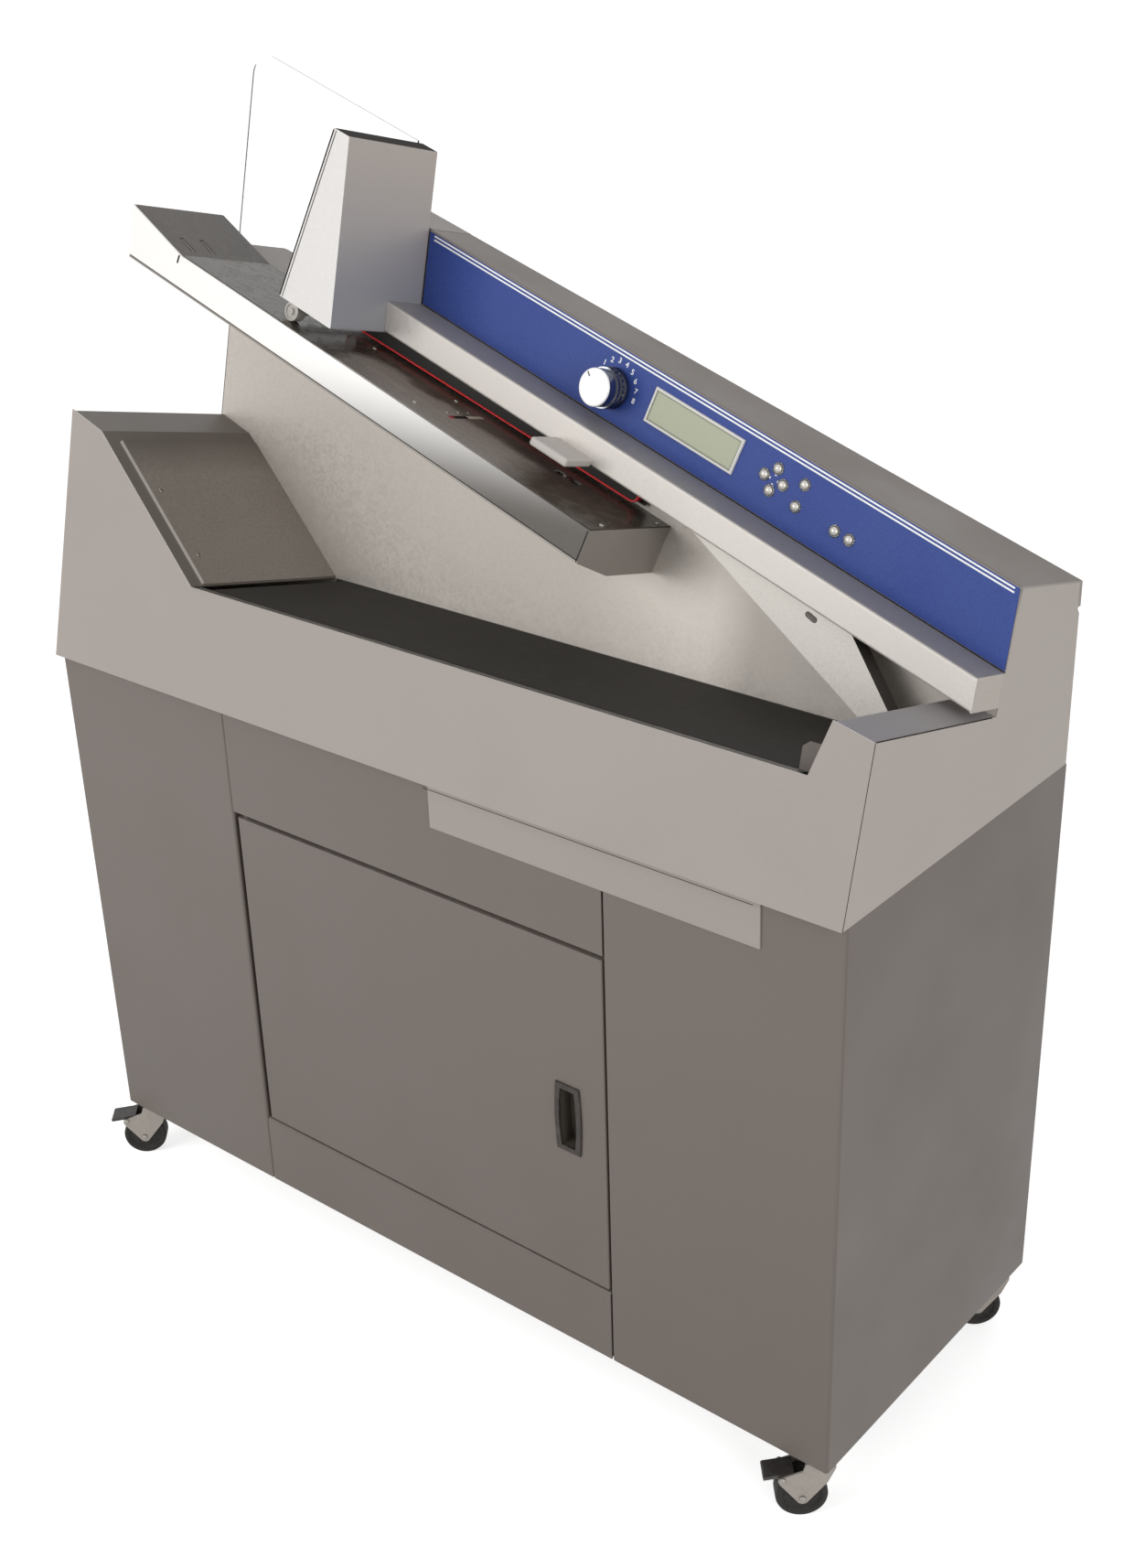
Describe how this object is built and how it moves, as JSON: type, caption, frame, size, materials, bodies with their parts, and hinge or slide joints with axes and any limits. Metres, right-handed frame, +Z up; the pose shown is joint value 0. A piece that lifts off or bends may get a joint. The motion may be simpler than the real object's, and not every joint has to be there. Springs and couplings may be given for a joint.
{
  "type": "electric letter opener",
  "caption": "Floor-standing electric letter opener: leaning housing with sloped feeder, belt drive, cutter and stacker, over a steel cabinet with a hinged door, on casters",
  "frame": {"origin": "centre of the machine's outer box, on the floor under the casters", "axes": "+Z up, -Y towards the user who stands before the door, +X to the user's right along the cabinet"},
  "size_m": [1.2512, 0.493, 1.5097],
  "materials": {
    "paint_dark": "satin_powder_coat",
    "paint_floor": "satin_powder_coat",
    "paint_light": "satin_powder_coat",
    "steel_wall": "galvanised",
    "steel_rail": "galvanised",
    "steel_tower": "galvanised",
    "steel_deck": "galvanised",
    "steel_polished": "polished",
    "steel_ramp": "polished",
    "steel_satin": "galvanised",
    "steel_dark": "satin",
    "cast_guard": "satin",
    "acrylic": "clear",
    "belt_black": "matte",
    "belt_red": "matte",
    "carrier_black": "satin",
    "roller_steel": "turned",
    "cutter_steel": "ground",
    "motor_black": "satin",
    "feed_rubber": "matte",
    "panel_blue": "textured_film",
    "display_mix": "framed_window",
    "knob_chrome": "polished",
    "button_metal": "polished",
    "screw_steel": "satin",
    "pin_steel": "turned",
    "handle_black": "moulded",
    "unit_metal": "galvanised",
    "bin_grey": "moulded",
    "wheel_black": "matte",
    "fork_zinc": "zinc_plated",
    "pedal_black": "moulded"
  },
  "bodies": {
    "machine": {"acrylic_guard": "acrylic", "back_wall": "steel_wall", "belt_carrier": "carrier_black", "cabinet_floor": "paint_floor", "cabinet_left_pillar": "paint_dark", "cabinet_rear_panel": "paint_dark", "cabinet_right_pillar": "paint_dark", "cabinet_top_plate": "paint_dark", "chip_bin": "bin_grey", "cutter_guard": "cast_guard", "cutter_motor": "motor_black", "deck_plate": "steel_polished", "deflector_plate": "steel_satin", "feeder_deck": "steel_deck", "feeder_tower": "steel_tower", "front_apron": "paint_light", "front_top_panel": "paint_dark", "hinge_pins": "pin_steel", "kick_panel": "paint_dark", "left_end_cover": "paint_light", "panel_screws": "screw_steel", "power_unit": "unit_metal", "rail_cover": "steel_rail", "ramp_plate": "steel_ramp", "rear_cover": "paint_light", "right_end_shelf": "paint_light", "right_side_panel": "paint_light", "skirt_plate": "paint_light", "stacker_belt": "belt_black", "stacker_frame": "steel_dark", "transport_belt": "belt_red"},
    "door_leaf": {"door": "paint_dark", "door_handle": "handle_black"},
    "control_cover": {"top_cover": "paint_light", "control_panel": "panel_blue", "display": "display_mix"},
    "knob": {"selector_knob": "knob_chrome"},
    "feed_wheel": {"feed_roller": "feed_rubber"},
    "idler_roller": {"stacker_idler_roller": "roller_steel"},
    "drive_roller": {"stacker_drive_roller": "roller_steel"},
    "drive_pulley": {"belt_drive_pulley": "roller_steel"},
    "cutter": {"milling_cutter": "cutter_steel"},
    "button_up_body": {"button_up": "button_metal"},
    "button_left_body": {"button_left": "button_metal"},
    "button_right_body": {"button_right": "button_metal"},
    "button_down_body": {"button_down": "button_metal"},
    "button_cancel_body": {"button_cancel": "button_metal"},
    "button_enter_body": {"button_enter": "button_metal"},
    "button_start_body": {"button_start": "button_metal"},
    "button_stop_body": {"button_stop": "button_metal"},
    "fork_front_left": {"caster_fork_front_left": "fork_zinc"},
    "wheel_front_left": {"caster_wheel_front_left": "wheel_black"},
    "pedal_left": {"brake_pedal_left": "pedal_black"},
    "fork_rear_left": {"caster_fork_rear_left": "fork_zinc"},
    "wheel_rear_left": {"caster_wheel_rear_left": "wheel_black"},
    "fork_front_right": {"caster_fork_front_right": "fork_zinc"},
    "wheel_front_right": {"caster_wheel_front_right": "wheel_black"},
    "pedal_right": {"brake_pedal_right": "pedal_black"},
    "fork_rear_right": {"caster_fork_rear_right": "fork_zinc"},
    "wheel_rear_right": {"caster_wheel_rear_right": "wheel_black"}
  },
  "joints": [
    {"name": "door_hinge", "type": "hinge", "parent": "machine", "child": "door_leaf", "pos_m": [-0.26645, -0.21083, 0.195], "axis": [0, 0, -1], "range_deg": [0, 110]},
    {"name": "cover_hinge", "type": "hinge", "parent": "machine", "child": "control_cover", "pos_m": [0.01605, 0.23947, 1.19113], "axis": [-0.9517, 0, 0.307], "range_deg": [0, 60]},
    {"name": "knob_turn", "type": "hinge", "parent": "control_cover", "child": "knob", "pos_m": [0.07042, 0.13026, 1.1802], "axis": [0, 0.9684, -0.2494], "range_deg": [0, 142]},
    {"name": "feed_wheel_turn", "type": "hinge", "parent": "machine", "child": "feed_wheel", "pos_m": [-0.33662, 0.00623, 1.24393], "axis": [0, 0.9684, -0.2494], "continuous": true},
    {"name": "idler_roller_turn", "type": "hinge", "parent": "machine", "child": "idler_roller", "pos_m": [-0.32095, -0.18245, 0.92023], "axis": [0, 0.9684, -0.2494], "continuous": true},
    {"name": "drive_roller_turn", "type": "hinge", "parent": "machine", "child": "drive_roller", "pos_m": [0.53005, -0.18245, 0.92023], "axis": [0, 0.9684, -0.2494], "continuous": true},
    {"name": "drive_pulley_turn", "type": "hinge", "parent": "machine", "child": "drive_pulley", "pos_m": [-0.31684, 0.10116, 1.21559], "axis": [-0.0366, 0.9706, -0.2381], "continuous": true},
    {"name": "cutter_turn", "type": "hinge", "parent": "machine", "child": "cutter", "pos_m": [0.05586, 0.04382, 1.07712], "axis": [0, 0.9684, -0.2494], "continuous": true},
    {"name": "button_up_press", "type": "slide", "parent": "control_cover", "child": "button_up_body", "axis": [0, 0.9684, -0.2494], "range_m": [0, 0.001], "stiffness_N_per_m": 400},
    {"name": "button_left_press", "type": "slide", "parent": "control_cover", "child": "button_left_body", "axis": [0, 0.9684, -0.2494], "range_m": [0, 0.001], "stiffness_N_per_m": 400},
    {"name": "button_right_press", "type": "slide", "parent": "control_cover", "child": "button_right_body", "axis": [0, 0.9684, -0.2494], "range_m": [0, 0.001], "stiffness_N_per_m": 400},
    {"name": "button_down_press", "type": "slide", "parent": "control_cover", "child": "button_down_body", "axis": [0, 0.9684, -0.2494], "range_m": [0, 0.001], "stiffness_N_per_m": 400},
    {"name": "button_cancel_press", "type": "slide", "parent": "control_cover", "child": "button_cancel_body", "axis": [0, 0.9684, -0.2494], "range_m": [0, 0.001], "stiffness_N_per_m": 400},
    {"name": "button_enter_press", "type": "slide", "parent": "control_cover", "child": "button_enter_body", "axis": [0, 0.9684, -0.2494], "range_m": [0, 0.001], "stiffness_N_per_m": 400},
    {"name": "button_start_press", "type": "slide", "parent": "control_cover", "child": "button_start_body", "axis": [0, 0.9684, -0.2494], "range_m": [0, 0.001], "stiffness_N_per_m": 400},
    {"name": "button_stop_press", "type": "slide", "parent": "control_cover", "child": "button_stop_body", "axis": [0, 0.9684, -0.2494], "range_m": [0, 0.001], "stiffness_N_per_m": 400},
    {"name": "swivel_front_left", "type": "hinge", "parent": "machine", "child": "fork_front_left", "pos_m": [-0.56555, -0.19243, 0.088], "axis": [0, 0, 1], "continuous": true},
    {"name": "roll_front_left", "type": "hinge", "parent": "fork_front_left", "child": "wheel_front_left", "pos_m": [-0.58053, -0.20568, 0.031], "axis": [-0.6626, 0.749, 0], "continuous": true},
    {"name": "pedal_press_left", "type": "hinge", "parent": "fork_front_left", "child": "pedal_left", "pos_m": [-0.59813, -0.22126, 0.06], "axis": [0.6626, -0.749, 0], "range_deg": [0, 12]},
    {"name": "swivel_rear_left", "type": "hinge", "parent": "machine", "child": "fork_rear_left", "pos_m": [-0.56555, 0.21807, 0.088], "axis": [0, 0, 1], "continuous": true},
    {"name": "roll_rear_left", "type": "hinge", "parent": "fork_rear_left", "child": "wheel_rear_left", "pos_m": [-0.58053, 0.20482, 0.031], "axis": [-0.6626, 0.749, 0], "continuous": true},
    {"name": "swivel_front_right", "type": "hinge", "parent": "machine", "child": "fork_front_right", "pos_m": [0.59765, -0.19243, 0.088], "axis": [0, 0, 1], "continuous": true},
    {"name": "roll_front_right", "type": "hinge", "parent": "fork_front_right", "child": "wheel_front_right", "pos_m": [0.58267, -0.20568, 0.031], "axis": [-0.6626, 0.749, 0], "continuous": true},
    {"name": "pedal_press_right", "type": "hinge", "parent": "fork_front_right", "child": "pedal_right", "pos_m": [0.56507, -0.22126, 0.06], "axis": [0.6626, -0.749, 0], "range_deg": [0, 12]},
    {"name": "swivel_rear_right", "type": "hinge", "parent": "machine", "child": "fork_rear_right", "pos_m": [0.59765, 0.21807, 0.088], "axis": [0, 0, 1], "continuous": true},
    {"name": "roll_rear_right", "type": "hinge", "parent": "fork_rear_right", "child": "wheel_rear_right", "pos_m": [0.58267, 0.20482, 0.031], "axis": [-0.6626, 0.749, 0], "continuous": true}
  ],
  "couplings": [
    {"joint": "idler_roller_turn", "follows": "drive_roller_turn", "ratio": 1}
  ]
}
